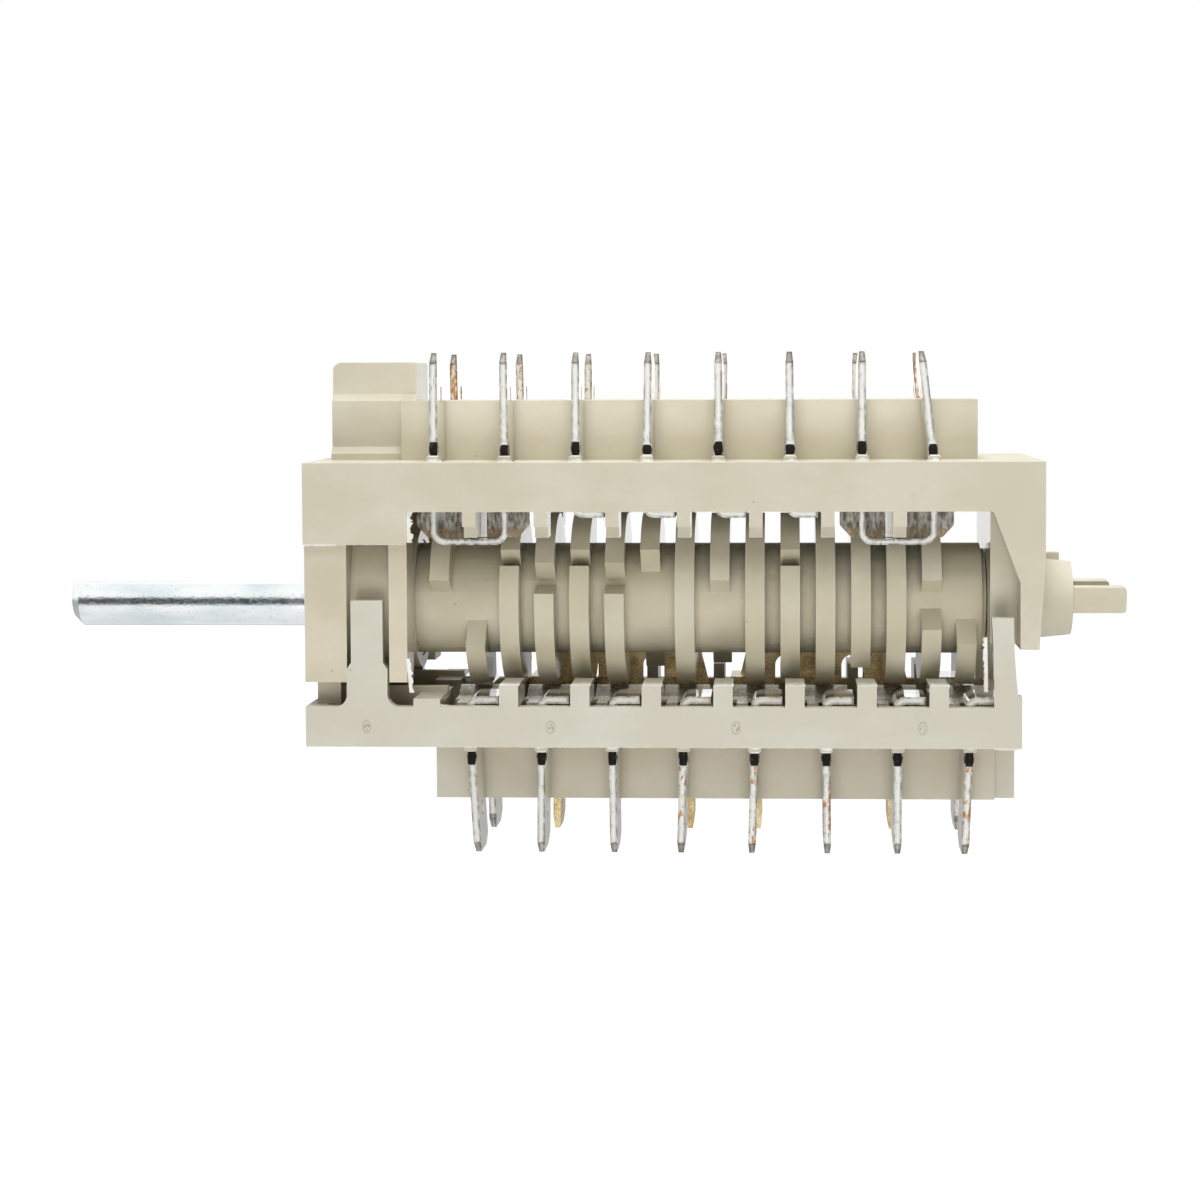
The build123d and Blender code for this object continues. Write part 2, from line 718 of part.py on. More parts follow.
# A flat tab that stands out of the frame, with its bevelled tip, hole and stop lugs.
# row is 1 above and -1 below, side is -1 at the front and 1 at the back.
def flat_tab(x, row, side, lean, start_height):
    bottom_tip = bottom_tab_tip if side == -1 else bottom_back_tab_tip
    tip = top_tab_tip if row == 1 else bottom_tip
    face = upper_top if row == 1 else -lower_bottom
    half = tab_thickness / 2
    slim = tab_tip_thickness / 2

    def at(height, across):
        return (x + max(height - face, 0) * tan(radians(lean)) + across, row * height)

    middle_plane = Plane.XZ.offset(-side * tab_centre)
    outline_plate(
        middle_plane,
        [at(start_height, -half), at(face, -half), at(tip - tab_bevel, -half), at(tip, -slim),
         at(tip, slim), at(tip - tab_bevel, half), at(face, half), at(start_height, half)],
        tab_width / 2,
    )
    tip_x = at(tip, 0)[0]
    across = Plane.YZ.offset(tip_x)
    for edge, inwards in ((side * tab_inner, side), (side * tab_outer, -side)):
        outline_plate(
            across,
            [(edge - inwards * merge, row * (tip - tab_bevel)),
             (edge - inwards * merge, row * (tip + merge)),
             (edge + inwards * tab_corner, row * (tip + merge))],
            2 * tab_thickness,
            Mode.SUBTRACT,
        )
    with BuildSketch(across) as hole:
        with Locations((side * tab_centre, row * (tip - tab_hole_depth))):
            Circle(tab_hole_radius)
    extrude(hole.sketch, amount=2 * tab_thickness, both=True, mode=Mode.SUBTRACT)
    stop_start = face + foot_height + stop_gap
    stop_low, stop_high = sorted((row * stop_start, row * (stop_start + stop_height)))
    y_low, y_high = sorted((side * (tab_outer - stop_depth), side * (tab_outer + stop_proud)))
    stop_x = at(face + foot_height + stop_height / 2, 0)[0]
    block(stop_x - stop_thickness / 2, stop_x + stop_thickness / 2, y_low, y_high,
          stop_low, stop_high)


# The round contact button on a shelf's outer face
def contact_button(x, row, side, shelf_face):
    with BuildSketch(Plane.XY.offset(row * shelf_face)) as button:
        with Locations((x - side * button_shift, side * button_y)):
            Circle(button_radius)
    extrude(button.sketch, amount=row * button_height)


# A tab cropped off level with the frame, so that only its leg stays in the slot
def cropped_tab(x, row, side, start_height):
    end = upper_top if row == 1 else -lower_bottom
    z_low, z_high = sorted((row * start_height, row * end))
    block(x - tab_thickness / 2, x + tab_thickness / 2, side * tab_centre - tab_width / 2,
          side * tab_centre + tab_width / 2, z_low, z_high)


# A tab folded over into its shelf, which points to the rear in the front row
# and to the front in the back row. Without a lean, it is a cropped one.
def shelf_tab(x, row, side, lean, inner, y_middle, depth):
    turn_end = inner + shelf_fold_height
    shelf_middle = row * (inner + tab_thickness / 2)
    if lean is None:
        cropped_tab(x, row, side, turn_end - merge)
    else:
        flat_tab(x, row, side, lean, turn_end - merge)
    folded_strip(
        Plane.XZ.offset(-y_middle),
        [(x - side * shelf_reach, shelf_middle), (x, shelf_middle), (x, row * turn_end)],
        shelf_bend, tab_thickness, depth / 2,
    )
    contact_button(x, row, side, inner + tab_thickness)


# A single terminal
def single_terminal(x, row, side, lean, inner=shelf_inner):
    with BuildPart() as terminal:
        shelf_tab(x, row, side, lean, inner, side * tab_centre, tab_width)
    return terminal.part


# A pair of front terminals joined by a U-shaped bridge and a plate behind it.
# clip_side is 1 where the folded clip stands behind the comb tooth and -1 before it.
def front_bridge(left, right, leans, clip_side):
    bar_middle = bridge_bar_inner + bridge_thickness / 2
    tab_start = high_shelf_inner + shelf_fold_height
    shelf_depth = tab_width - bridge_depth - plate_thickness
    bridge_y = -(tab_outer - bridge_depth / 2)
    with BuildPart() as terminal:
        for x, lean in zip((left, right), leans):
            shelf_tab(x, 1, -1, lean, high_shelf_inner, -tab_inner - shelf_depth / 2, shelf_depth)
        folded_strip(
            Plane.XZ.offset(-bridge_y),
            [(left, tab_start), (left, bar_middle), (right, bar_middle), (right, tab_start)],
            bridge_bend, bridge_thickness, bridge_depth / 2,
        )
        block(left + coined_front, left + coined_front + coined_length,
              -tab_outer - coined_proud, -tab_outer + merge,
              bar_middle - coined_width / 2, bar_middle + coined_width / 2)
        with BuildSketch(Plane.XZ.offset(plate_y)) as plate:
            with BuildLine():
                FilletPolyline(
                    (left - plate_narrow, plate_inner), (right + plate_narrow, plate_inner),
                    (right + plate_wide, plate_side_inner), (right + plate_wide, plate_outer),
                    (left - plate_wide, plate_outer), (left - plate_wide, plate_side_inner),
                    radius=plate_corner, close=True,
                )
            make_face()
        extrude(plate.sketch, amount=plate_thickness)
        clip_edge = left + upper_tooth_offset + clip_side * (upper_tooth_width / 2 - clip_lap)
        clip_x = clip_edge + clip_side * clip_width / 2
        clip_y = -plate_y - plate_thickness
        block(clip_x - clip_width / 2, clip_x + clip_width / 2,
              clip_y - clip_thickness, clip_y + merge, plate_inner + merge, plate_outer)
    return terminal.part


# Three back terminals below, the middle one cropped, joined by an upright plate
# with a slot between each two
def back_bridge(places, leans):
    left = places[0]
    right = places[-1]
    with BuildPart() as terminal:
        for x, lean in zip(places, leans):
            shelf_tab(x, -1, 1, lean, shelf_inner, tab_centre, tab_width)
        plate_plane = Plane.XZ.offset(-low_plate_y - plate_thickness / 2)
        outline_plate(
            plate_plane,
            [(left - plate_narrow, -low_plate_inner), (right + plate_narrow, -low_plate_inner),
             (right + plate_wide, -plate_outer), (left - plate_wide, -plate_outer)],
            plate_thickness / 2,
        )
        slot_radius = plate_slot_width / 2
        with BuildSketch(plate_plane) as slots:
            for x in places[:-1]:
                slot_x = x + terminal_pitch - lower_tooth_offset
                with BuildLine():
                    Polyline((slot_x - slot_radius, -plate_slot_end - slot_radius),
                             (slot_x - slot_radius, -plate_outer - merge),
                             (slot_x + slot_radius, -plate_outer - merge),
                             (slot_x + slot_radius, -plate_slot_end - slot_radius))
                    ThreePointArc((slot_x + slot_radius, -plate_slot_end - slot_radius),
                                  (slot_x, -plate_slot_end),
                                  (slot_x - slot_radius, -plate_slot_end - slot_radius))
                make_face()
        extrude(slots.sketch, amount=plate_thickness, both=True, mode=Mode.SUBTRACT)
    return terminal.part


# A springy blade from its root at the back, over its cam track, to the front button.
# Its ends are forked round the legs of the tabs.
def contact_blade(x, row, height):
    with BuildPart() as blade:
        folded_strip(
            Plane.YZ.offset(x),
            [(blade_root, row * height), (blade_bump, row * height), (0, row * bump_height),
             (-blade_bump, row * height), (-blade_tip, row * height)],
            blade_bend, blade_thickness, blade_half_width,
        )
        z_low, z_high = row * height - 2 * blade_thickness, row * height + 2 * blade_thickness
        for side in (-1, 1):
            y_low, y_high = sorted((side * leg_slot_end, side * 2 * blade_root))
            trim_low, trim_high = sorted((side * blade_narrow, side * 2 * blade_half_width))
            block(x - leg_slot_half, x + leg_slot_half, y_low, y_high, z_low, z_high, Mode.SUBTRACT)
            block(x + trim_low, x + trim_high, y_low, y_high, z_low, z_high, Mode.SUBTRACT)
    return blade.part


pieces = {
    "top_front_bridge_left": front_bridge(top_tabs[0], top_tabs[1], top_front_lean[:2], 1),
    "top_front_bridge_right": front_bridge(top_tabs[-2], top_tabs[-1], top_front_lean[-2:], -1),
    "bottom_back_bridge_left": back_bridge(bottom_tabs[1:4], bottom_back_lean[1:4]),
    "bottom_back_bridge_right": back_bridge(bottom_tabs[4:7], bottom_back_lean[4:7]),
}
last = terminal_count - 1
for place in range(terminal_count):
    number = place + 1
    top_x = top_tabs[place]
    bottom_x = bottom_tabs[place]
    bridged = place < 2 or place > last - 2
    top_inner = high_shelf_inner if bridged else shelf_inner
    top_height = high_blade_height if bridged else blade_height
    if not bridged:
        pieces[f"top_front_terminal_{number}"] = single_terminal(
            top_x, 1, -1, top_front_lean[place])
    pieces[f"top_back_terminal_{number}"] = single_terminal(
        top_x, 1, 1, top_back_lean[place], top_inner)
    pieces[f"bottom_front_terminal_{number}"] = single_terminal(
        bottom_x, -1, -1, bottom_front_lean[place])
    if place in (0, last):
        pieces[f"bottom_back_terminal_{number}"] = single_terminal(
            bottom_x, -1, 1, bottom_back_lean[place])
    pieces[f"top_contact_blade_{number}"] = contact_blade(top_x, 1, top_height)
    pieces[f"bottom_contact_blade_{number}"] = contact_blade(bottom_x, -1, blade_height)

for name, piece in pieces.items():
    piece.label = name
    export_step(piece, f"parts/{name}.step")
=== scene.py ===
import bmesh
import bpy
import math
import random
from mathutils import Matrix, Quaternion, Vector


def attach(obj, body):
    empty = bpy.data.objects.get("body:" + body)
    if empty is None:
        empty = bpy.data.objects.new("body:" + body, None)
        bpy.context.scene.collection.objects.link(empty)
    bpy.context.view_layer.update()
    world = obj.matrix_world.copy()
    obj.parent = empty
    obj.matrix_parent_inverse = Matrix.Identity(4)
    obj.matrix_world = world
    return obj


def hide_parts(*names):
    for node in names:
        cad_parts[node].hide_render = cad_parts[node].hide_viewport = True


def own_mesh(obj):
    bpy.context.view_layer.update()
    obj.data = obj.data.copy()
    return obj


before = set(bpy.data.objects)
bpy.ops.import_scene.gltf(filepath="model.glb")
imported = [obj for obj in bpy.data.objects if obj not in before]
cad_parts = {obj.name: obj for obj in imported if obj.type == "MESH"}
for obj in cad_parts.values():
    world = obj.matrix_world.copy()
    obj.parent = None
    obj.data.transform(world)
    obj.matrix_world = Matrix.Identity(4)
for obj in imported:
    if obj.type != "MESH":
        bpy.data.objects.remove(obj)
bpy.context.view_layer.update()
mm = 0.001
print("frame loaded,", len(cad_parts), "nodes")


# The camera, at the photo's angle
cameraSettings = {
    "place": (48.8, -280.0, 23.3),   # in mm, like all places below
    "turn": -2.94,                   # degrees; a turn towards the rear coupling is positive
    "tilt": -2.73,
    "roll": -0.21,
    "lens": 79.4,
    "sensor": 36,
    "shift": (-0.04, -0.08),
    "clip": (0.01, 20),              # in metres
}


def makeCamera(settings):
    data = bpy.data.cameras.new("camera")
    data.lens = settings["lens"]
    data.sensor_width = settings["sensor"]
    data.shift_x, data.shift_y = settings["shift"]
    data.clip_start, data.clip_end = settings["clip"]
    camera = bpy.data.objects.new("camera", data)
    bpy.context.scene.collection.objects.link(camera)
    camera.location = Vector(settings["place"]) * mm
    turn, tilt = math.radians(settings["turn"]), math.radians(settings["tilt"])
    ahead = Vector((math.sin(turn) * math.cos(tilt), math.cos(turn) * math.cos(tilt),
                    math.sin(tilt)))
    roll = Quaternion((0, 0, 1), math.radians(settings["roll"]))
    camera.rotation_euler = (ahead.to_track_quat("-Z", "Y") @ roll).to_euler()
    bpy.context.scene.camera = camera


makeCamera(cameraSettings)
bpy.context.scene.view_settings.view_transform = "Standard"
print("camera placed")


# Small helpers for the materials
def rgb(red, green, blue):
    return tuple(((c / 255 + 0.055) / 1.055) ** 2.4 for c in (red, green, blue))


def inMetres(lengths):
    return [length * mm for length in lengths]


def startMaterial(name):
    material = bpy.data.materials.new(name)
    material.use_nodes = True
    tree = material.node_tree
    return material, tree, tree.nodes["Principled BSDF"]


def join(tree, source, target):
    tree.links.new(source, target)


# Size is the size of a grain in mm
def noise(tree, vector, size, detail=2.0, stretch=(1, 1, 1)):
    mapping = tree.nodes.new("ShaderNodeMapping")
    mapping.inputs["Scale"].default_value = [1 / s for s in stretch]
    join(tree, vector, mapping.inputs["Vector"])
    node = tree.nodes.new("ShaderNodeTexNoise")
    node.inputs["Scale"].default_value = 1 / (size * mm)
    node.inputs["Detail"].default_value = detail
    join(tree, mapping.outputs["Vector"], node.inputs["Vector"])
    return node.outputs["Fac"]


# Start below low, end above high, and a soft ramp between them
def spread(tree, value, low, high, start=0.0, end=1.0):
    node = tree.nodes.new("ShaderNodeMapRange")
    node.interpolation_type = "SMOOTHSTEP"
    node.inputs["From Min"].default_value = low
    node.inputs["From Max"].default_value = high
    node.inputs["To Min"].default_value = start
    node.inputs["To Max"].default_value = end
    join(tree, value, node.inputs["Value"])
    return node.outputs["Result"]


def patches(tree, vector, size, low, high, start=0.0, end=1.0, detail=2.0, stretch=(1, 1, 1)):
    return spread(tree, noise(tree, vector, size, detail, stretch), low, high, start, end)


def calc(tree, kind, first, second=None):
    node = tree.nodes.new("ShaderNodeMath")
    node.operation = kind
    for slot, value in enumerate((first, second)):
        if hasattr(value, "is_linked"):
            join(tree, value, node.inputs[slot])
        elif value is not None:
            node.inputs[slot].default_value = value
    return node.outputs[0]


def times(tree, first, second):
    return calc(tree, "MULTIPLY", first, second)


# 1 between low and high, with soft ends
def zone(tree, value, low, high, soft):
    rise = spread(tree, value, low - soft, low + soft)
    fall = spread(tree, value, high - soft, high + soft, 1, 0)
    return times(tree, rise, fall)


def blend(tree, factor, first, second):
    node = tree.nodes.new("ShaderNodeMix")
    node.data_type = "RGBA"
    join(tree, factor, node.inputs["Factor"])
    for slot, value in (("A", first), ("B", second)):
        socket = [s for s in node.inputs if s.name == slot and s.type == "RGBA"][0]
        if hasattr(value, "is_linked"):
            join(tree, value, socket)
        else:
            socket.default_value = (*value, 1)
    return [s for s in node.outputs if s.type == "RGBA"][0]


def axesOf(tree, vector):
    axes = tree.nodes.new("ShaderNodeSeparateXYZ")
    join(tree, vector, axes.inputs[0])
    return axes.outputs["X"], axes.outputs["Y"], axes.outputs["Z"]


# Painted shade from ambient occlusion: 1 deep in a hollow and 0 in the open; openness gives where
# each begins
def hollowShadeMask(tree, reach, openness):
    node = tree.nodes.new("ShaderNodeAmbientOcclusion")
    node.samples = 6
    node.inputs["Distance"].default_value = reach * mm
    return spread(tree, node.outputs["AO"], *openness, 1, 0)


# 1 along edges that are nearer than reach, and 0 on the faces between them
def edgeness(tree, reach):
    node = tree.nodes.new("ShaderNodeBevel")
    node.samples = 4
    node.inputs["Radius"].default_value = reach * mm
    flat = tree.nodes.new("ShaderNodeNewGeometry")
    same = tree.nodes.new("ShaderNodeVectorMath")
    same.operation = "DOT_PRODUCT"
    join(tree, node.outputs["Normal"], same.inputs[0])
    join(tree, flat.outputs["True Normal"], same.inputs[1])
    return spread(tree, same.outputs["Value"], 0.95, 1.0, 1, 0)


# Roughness that varies with a noise
def roughness(tree, grain, look):
    return spread(tree, grain, *look["roughFrom"], look["rough"] - look["roughLess"],
                  look["rough"] + look["roughMore"])


def bump(tree, shader, height, depth):
    node = tree.nodes.new("ShaderNodeBump")
    node.inputs["Strength"].default_value = 1
    node.inputs["Distance"].default_value = depth * mm
    join(tree, height, node.inputs["Height"])
    join(tree, node.outputs["Normal"], shader.inputs["Normal"])


# Moulded plastics; each dict inside describes one kind of patch, by the size of its grain in mm,
# the noise at which it starts and is full, and how strong it gets
housingPlastic = {
    "colour": rgb(216, 210, 191), "dark": rgb(208, 201, 179), "stain": rgb(184, 172, 142),
    # The fourth colour is the painted shade that hollows turn to
    "hollowShadeColour": rgb(140, 120, 78), "edge": rgb(236, 233, 222), "speck": rgb(128, 116, 92),
    "clouds": dict(size=7.0, low=0.35, high=0.65, detail=3, stretch=(1.6, 1, 1)),
    "flow": dict(size=1.2, low=0.55, high=0.8, end=0.35, stretch=(6, 1, 1)),
    "stains": dict(size=4.5, low=0.62, high=0.8),
    "mottle": dict(size=0.7, low=0.4, high=0.7, end=0.3, detail=3),
    "specks": dict(size=0.5, low=0.88, high=0.9, end=0.6, detail=0),
    # The next two lines give a painted highlight along edges, broken into patches: where it shows,
    # its width and its strength
    "wearAndHighlight": dict(size=1.1, low=0.35, high=0.6, start=0.25, detail=3),
    "edgeWidth": 0.14, "edgeHighlightStrength": 0.5,
    "grain": 0.5, "grainDark": dict(low=0.3, high=0.75, end=0.16), "grainDepth": 0.01,
    "rough": 0.46, "roughLess": 0.07, "roughMore": 0.1, "roughFrom": (0.25, 0.75),
    "sideRough": 0.09, "sideFacing": (0.85, 0.97),
    "reach": 7.0, "openness": (0.04, 0.24), "hollowShadeStrength": 0.7,   # of the shade in hollows
}
lowerPlastic = dict(housingPlastic, colour=rgb(216, 212, 197), dark=rgb(208, 203, 186),
                    openness=(0.15, 0.8), hollowShadeStrength=0.5)
detentPlastic = dict(housingPlastic, colour=rgb(218, 210, 188), dark=rgb(209, 199, 175))
# The cam drum gets a darker, stronger painted shade in its hollows, for its top under the deck
camPlastic = dict(housingPlastic, colour=rgb(216, 209, 187), dark=rgb(206, 198, 172),
                  hollowShadeColour=rgb(84, 66, 34), grain=0.35, rough=0.4, edgeHighlightStrength=0.3,
                  openness=(0.02, 0.17), hollowShadeStrength=0.9)
frostedPlastic = dict(housingPlastic, colour=rgb(248, 247, 243), dark=rgb(226, 221, 206),
                      grain=0.25, rough=0.35, hollowShadeStrength=0.4)
# Round marks of the ejector pins on the lower side wall
ejectorMarks = {
    "first": 6.4, "spacing": 18.78, "height": -12.05, "width": 0.86, "tall": 1.25,
    "wall": (-13.95, -13.9),
    "ring": rgb(176, 170, 150), "ringBand": (0.85, 1.1), "ringSoft": 0.08, "ringStrength": 0.75,
    "speck": rgb(120, 118, 112), "specks": dict(size=0.22, low=0.5, high=0.56, end=0.9),
    "speckReach": (0.5, 0.8),
}


def addEjectorMarks(tree, where, colour, look):
    along, depth, height = axesOf(tree, where)
    pitch = look["spacing"] * mm
    along = calc(tree, "SUBTRACT", along, (look["first"] - look["spacing"] / 2) * mm)
    along = calc(tree, "SUBTRACT", calc(tree, "FLOORED_MODULO", along, pitch), pitch / 2)
    across = calc(tree, "DIVIDE", along, look["width"] * mm / 2)
    up = calc(tree, "SUBTRACT", height, look["height"] * mm)
    up = calc(tree, "DIVIDE", up, look["tall"] * mm / 2)
    squares = calc(tree, "ADD", calc(tree, "POWER", across, 2.0), calc(tree, "POWER", up, 2.0))
    away = calc(tree, "SQRT", squares)   # 1 on the mark's outline
    front = spread(tree, depth, *inMetres(look["wall"]), 1, 0)
    ring = times(tree, zone(tree, away, *look["ringBand"], look["ringSoft"]), front)
    colour = blend(tree, times(tree, ring, look["ringStrength"]), colour, look["ring"])
    speck = times(tree, patches(tree, where, **look["specks"]),
                  spread(tree, away, *look["speckReach"], 1, 0))
    return blend(tree, times(tree, speck, front), colour, look["speck"])


def makePlastic(name, look, marks=None):
    material, tree, shader = startMaterial(name)
    place = tree.nodes.new("ShaderNodeTexCoord")
    where = place.outputs["Object"]
    colour = blend(tree, patches(tree, where, **look["clouds"]), look["colour"], look["dark"])
    colour = blend(tree, patches(tree, where, **look["flow"]), colour, look["dark"])
    grain = noise(tree, where, look["grain"], 3)
    colour = blend(tree, spread(tree, grain, **look["grainDark"]), colour, look["dark"])
    stain = times(tree, patches(tree, where, **look["stains"]),
                  patches(tree, where, **look["mottle"]))
    colour = blend(tree, stain, colour, look["stain"])
    colour = blend(tree, patches(tree, where, **look["specks"]), colour, look["speck"])
    # Painted highlight: a lighter colour along the edges, in patches
    wornAndHighlit = times(tree, edgeness(tree, look["edgeWidth"]), patches(tree, where, **look["wearAndHighlight"]))
    colour = blend(tree, times(tree, wornAndHighlit, look["edgeHighlightStrength"]), colour, look["edge"])
    if marks:
        colour = addEjectorMarks(tree, where, colour, marks)
    # Painted shade: the colour darkens towards a brown in hollows, under overhangs and between
    # parts
    hollowShade = times(tree, hollowShadeMask(tree, look["reach"], look["openness"]), look["hollowShadeStrength"])
    colour = blend(tree, hollowShade, colour, look["hollowShadeColour"])
    join(tree, colour, shader.inputs["Base Color"])

    # The faces across the shaft come off polished mould steel, so they are smooth
    across = calc(tree, "ABSOLUTE", axesOf(tree, place.outputs["Normal"])[0])
    matt = spread(tree, across, *look["sideFacing"], 1, 0)
    rough = times(tree, roughness(tree, grain, look), matt)
    join(tree, calc(tree, "MAXIMUM", rough, look["sideRough"]), shader.inputs["Roughness"])
    bump(tree, shader, times(tree, grain, matt), look["grainDepth"])
    return material


# The shaft's zinc, finely drawn along its length
shaftZinc = {
    "colour": rgb(238, 242, 241), "blue": rgb(214, 224, 226), "pit": rgb(150, 162, 168),
    "tint": dict(size=3.0, low=0.35, high=0.65, stretch=(3, 1, 1)),
    "pits": dict(size=0.17, detail=3, stretch=(1.6, 1, 1)),
    "draw": dict(size=0.5, stretch=(22, 1, 1)), "drawDepth": 0.25,
    "pitDark": dict(low=0.6, high=0.75, end=0.6),
    "rough": 0.13, "roughLess": 0.05, "roughMore": 0.12, "roughFrom": (0.3, 0.7), "depth": 0.016,
}


def makeZinc(name, look):
    material, tree, shader = startMaterial(name)
    where = tree.nodes.new("ShaderNodeTexCoord").outputs["Object"]
    pits = noise(tree, where, **look["pits"])
    draw = noise(tree, where, **look["draw"])
    colour = blend(tree, patches(tree, where, **look["tint"]), look["colour"], look["blue"])
    colour = blend(tree, spread(tree, pits, **look["pitDark"]), colour, look["pit"])
    join(tree, colour, shader.inputs["Base Color"])
    shader.inputs["Metallic"].default_value = 1
    join(tree, roughness(tree, pits, look), shader.inputs["Roughness"])
    bump(tree, shader, calc(tree, "ADD", pits, times(tree, draw, look["drawDepth"])), look["depth"])
    return material


# The tin of the tabs: bright faces, ivory cut edges, polished shelves, and a painted shade on the
# plates behind
tabTin = {
    "face": rgb(240, 239, 234), "edge": rgb(246, 245, 238), "line": rgb(44, 39, 30),
    "dirt": rgb(84, 78, 62), "copper": rgb(214, 138, 30), "tip": rgb(146, 142, 128),
    # The dark colour for the plates behind, on the next line, is painted shade
    "bridge": rgb(250, 248, 240), "plate": rgb(94, 86, 66), "foot": rgb(150, 122, 84),
    "faceRough": 0.07, "cutRough": 0.36, "insidePolish": 0.12,
    "cutMetallic": 0.7, "insideDull": 0.55,
    "cutFacing": (0.6, 0.8),            # faces that look along Y by this much are cut edges
    "insideHeight": (12.6, 12.9),       # nearer the shaft than this is inside the frame
    "outsideLeast": 0.3,
    "streak": dict(size=0.14, detail=3, stretch=(1, 1, 6)),
    "streakDirt": dict(low=0.66, high=0.73, end=0.6),
    "blot": dict(size=0.9, detail=3),
    "blotDirt": dict(low=0.55, high=0.8, end=0.3),
    "lineWidth": 0.5, "lineStrength": 0.95,
    "lineGaps": dict(size=0.35, low=0.35, high=0.6, start=0.45, detail=3, stretch=(1, 1, 2)),
    "rowMiddle": 8.95, "holeReach": (1.0, 1.2),   # the holes in the tabs have no outlines
    "copperGrain": dict(size=0.34, detail=3, stretch=(1, 1, 2.2)), "copperOnFaces": 0.12,
    "tipHeights": (24.75, 24.1),        # where the bevelled tips of the two rows start
    "tipRamp": 0.1, "tipBlot": dict(low=0.3, high=0.6, start=0.5, end=0.9), "tipOnFaces": 0.1,
    "nearDepth": (-9.44, -9.36),        # the bridges and the shelves of the front row are nearer
    "bridgeStrength": 0.8,
    "plateHeight": (6.8, 10.95), "plateSoft": 0.03, "plateDepth": (-7.0, -6.5),
    "plateShadePatches": dict(size=0.3, low=0.3, high=0.7, start=0.6, detail=3, stretch=(1, 1, 3)),
    "footHeight": (7.75, 7.9),
    "footRust": dict(size=0.3, low=0.4, high=0.6, start=0.2, end=0.9, detail=3),
    "depth": 0.02,
}
# How far the tin is worn down to the copper under it
lightWear = {"low": 0.655, "high": 0.74, "strength": 0.15}
heavyWear = {"low": 0.53, "high": 0.64, "strength": 0.9}
copperWear = {"low": 0.43, "high": 0.56, "strength": 0.9}


def makeTabMetal(name, look, wearAndHighlight):
    material, tree, shader = startMaterial(name)
    place = tree.nodes.new("ShaderNodeTexCoord")
    where = place.outputs["Object"]
    depth, height = axesOf(tree, where)[1:]
    facing = calc(tree, "ABSOLUTE", axesOf(tree, place.outputs["Normal"])[1])
    cut = spread(tree, facing, *look["cutFacing"])
    inside = spread(tree, calc(tree, "ABSOLUTE", height), *inMetres(look["insideHeight"]), 1, 0)
    outside = spread(tree, inside, 0, 1, 1, look["outsideLeast"])

    # Short dark scratches and blots
    colour = blend(tree, cut, look["face"], look["edge"])
    streak = noise(tree, where, **look["streak"])
    blot = noise(tree, where, **look["blot"])
    for mark, dirt in ((streak, look["streakDirt"]), (blot, look["blotDirt"])):
        colour = blend(tree, times(tree, spread(tree, mark, **dirt), outside), colour, look["dirt"])

    # Copper that shows through the tin, mostly along the cut edges
    wornAndHighlit = spread(tree, noise(tree, where, **look["copperGrain"]), wearAndHighlight["low"], wearAndHighlight["high"])
    wornAndHighlit = times(tree, wornAndHighlit, wearAndHighlight["strength"])
    wornAndHighlit = times(tree, wornAndHighlit, spread(tree, cut, 0, 1, look["copperOnFaces"], 1))
    colour = blend(tree, wornAndHighlit, colour, look["copper"])

    # Grey bevelled tips
    top, bottom = inMetres(look["tipHeights"])
    ramp = look["tipRamp"] * mm
    tip = calc(tree, "ADD", spread(tree, height, top, top + ramp),
               spread(tree, times(tree, height, -1.0), bottom, bottom + ramp))
    tip = times(tree, tip, spread(tree, blot, **look["tipBlot"]))
    tip = times(tree, tip, spread(tree, cut, 0, 1, look["tipOnFaces"], 1))
    colour = blend(tree, tip, colour, look["tip"])

    # Polished bridges and shelves in front
    near = spread(tree, depth, *inMetres(look["nearDepth"]), 1, 0)
    bridge = times(tree, times(tree, inside, near), look["bridgeStrength"])
    colour = blend(tree, bridge, colour, look["bridge"])

    # Painted shade: the plates behind them are darkened in patches; they also get a brown foot
    away = calc(tree, "SUBTRACT", 1.0, near)
    level = zone(tree, height, *inMetres(look["plateHeight"]), look["plateSoft"] * mm)
    plate = times(tree, level, times(tree, away, cut))
    plate = times(tree, plate, spread(tree, depth, *inMetres(look["plateDepth"]), 1, 0))
    plateShadePatches = patches(tree, where, **look["plateShadePatches"])
    colour = blend(tree, times(tree, plate, plateShadePatches), colour, look["plate"])
    foot = times(tree, spread(tree, height, *inMetres(look["footHeight"]), 1, 0),
                 patches(tree, where, **look["footRust"]))
    colour = blend(tree, times(tree, plate, foot), colour, look["foot"])

    # Broken dark outlines of the cut edges
    middle = calc(tree, "SUBTRACT", calc(tree, "ABSOLUTE", depth), look["rowMiddle"] * mm)
    rim = spread(tree, calc(tree, "ABSOLUTE", middle), *inMetres(look["holeReach"]))
    line = times(tree, edgeness(tree, look["lineWidth"]),
                 times(tree, cut, patches(tree, where, **look["lineGaps"])))
    line = times(tree, times(tree, line, rim), look["lineStrength"])
    colour = blend(tree, line, colour, look["line"])
    join(tree, colour, shader.inputs["Base Color"])

    dull = times(tree, times(tree, inside, away), look["insideDull"])
    metallic = times(tree, spread(tree, cut, 0, 1, 1, look["cutMetallic"]),
                     calc(tree, "SUBTRACT", 1.0, dull))
    join(tree, metallic, shader.inputs["Metallic"])
    rough = calc(tree, "SUBTRACT", look["cutRough"] - look["faceRough"],
                 times(tree, inside, look["insidePolish"]))
    rough = calc(tree, "ADD", times(tree, cut, rough), look["faceRough"])
    join(tree, rough, shader.inputs["Roughness"])
    bump(tree, shader, times(tree, calc(tree, "ADD", streak, blot), cut), look["depth"])
    return material


